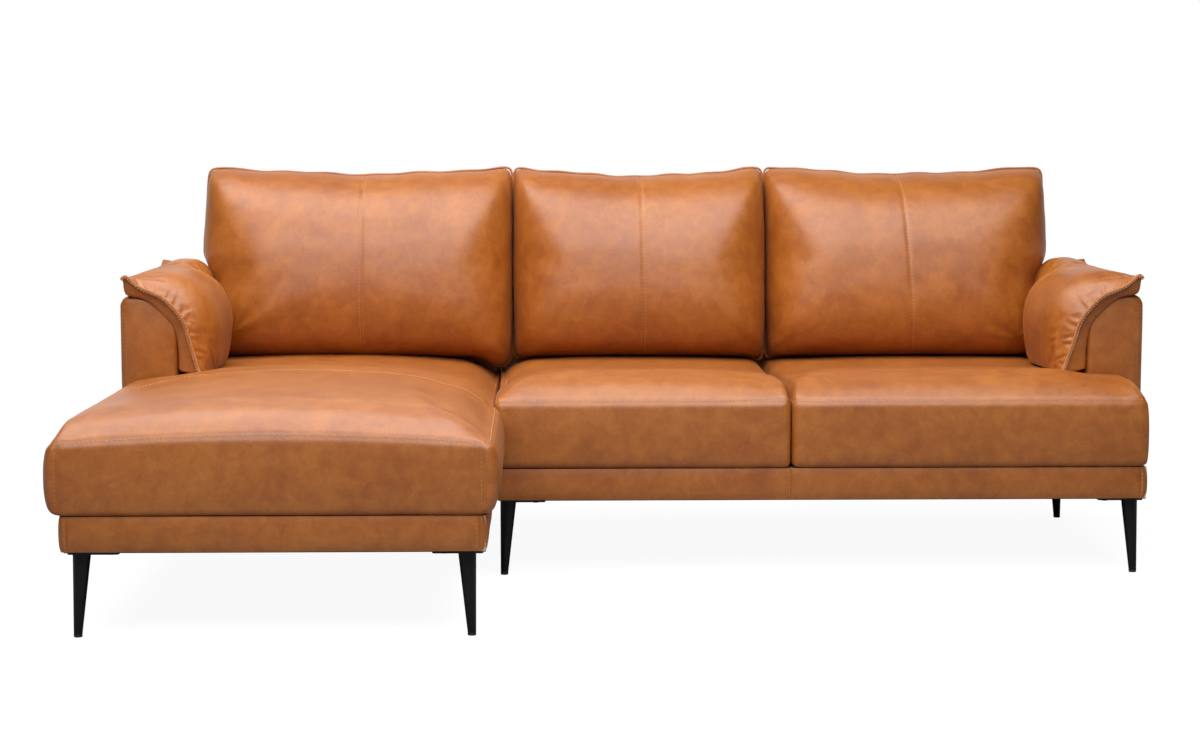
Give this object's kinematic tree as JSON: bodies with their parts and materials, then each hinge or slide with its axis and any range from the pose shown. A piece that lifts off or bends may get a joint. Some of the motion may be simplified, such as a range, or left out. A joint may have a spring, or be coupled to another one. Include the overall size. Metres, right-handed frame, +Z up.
{
  "type": "sofa with chaise",
  "caption": "Leather corner sofa with a chaise on one side, loose back cushions, pillows over the arms and tapered black steel legs.",
  "frame": {"origin": "on the floor under the middle of the sofa's outline", "axes": "+X to the right of someone facing the sofa, +Y towards its back, +Z up"},
  "size_m": [2.342, 1.6, 0.905],
  "materials": {
    "tan_leather": "satin",
    "black_steel": "satin",
    "zinc_steel": "satin",
    "spring_steel": "satin",
    "glide_nylon": "matte",
    "timber": "matte",
    "seat_foam": "matte",
    "felt": "matte",
    "webbing": "matte",
    "dust_cloth": "matte"
  },
  "bodies": {
    "sofa_frame": {"chaise_apron": "tan_leather", "chaise_back_cover": "tan_leather", "chaise_back_frame": "timber", "chaise_back_webbing": "webbing", "chaise_corner_blocks": "timber", "chaise_cross_rails": "timber", "chaise_dust_cover": "dust_cloth", "chaise_front_left_leg": "black_steel", "chaise_front_rail": "timber", "chaise_front_right_leg": "black_steel", "chaise_left_rail": "timber", "chaise_rear_left_leg": "black_steel", "chaise_rear_rail": "timber", "chaise_rear_right_leg": "black_steel", "chaise_right_rail": "timber", "chaise_seat_cover": "tan_leather", "chaise_seat_foam": "seat_foam", "chaise_seat_springs": "spring_steel", "chaise_spring_pad": "felt", "connector_hooks": "zinc_steel", "connector_sockets": "zinc_steel", "frame_bolts": "zinc_steel", "left_arm_cover": "tan_leather", "left_arm_frame": "timber", "left_arm_pillow": "tan_leather", "leg_bolts": "zinc_steel", "leg_glides": "glide_nylon", "leg_tee_nuts": "zinc_steel", "middle_seat_cover": "tan_leather", "middle_seat_foam": "seat_foam", "right_arm_cover": "tan_leather", "right_arm_frame": "timber", "right_arm_pillow": "tan_leather", "right_seat_cover": "tan_leather", "right_seat_foam": "seat_foam", "sofa_apron": "tan_leather", "sofa_back_cover": "tan_leather", "sofa_back_frame": "timber", "sofa_back_webbing": "webbing", "sofa_corner_blocks": "timber", "sofa_cross_rails": "timber", "sofa_dust_cover": "dust_cloth", "sofa_front_left_leg": "black_steel", "sofa_front_rail": "timber", "sofa_front_right_leg": "black_steel", "sofa_left_rail": "timber", "sofa_rear_left_leg": "black_steel", "sofa_rear_rail": "timber", "sofa_rear_right_leg": "black_steel", "sofa_right_rail": "timber", "sofa_seat_springs": "spring_steel", "sofa_spring_pad": "felt", "spring_clips": "zinc_steel"},
    "chaise_back_cushion": {"chaise_back_cushion": "tan_leather"},
    "middle_back_cushion": {"middle_back_cushion": "tan_leather"},
    "right_back_cushion": {"right_back_cushion": "tan_leather"}
  },
  "joints": [
    {"name": "chaise_cushion_lift", "type": "slide", "parent": "sofa_frame", "child": "chaise_back_cushion", "axis": [0, 0.1392, 0.9903], "range_m": [0, 0.45]},
    {"name": "middle_cushion_lift", "type": "slide", "parent": "sofa_frame", "child": "middle_back_cushion", "axis": [0, 0.1392, 0.9903], "range_m": [0, 0.45]},
    {"name": "right_cushion_lift", "type": "slide", "parent": "sofa_frame", "child": "right_back_cushion", "axis": [0, 0.1392, 0.9903], "range_m": [0, 0.45]}
  ]
}
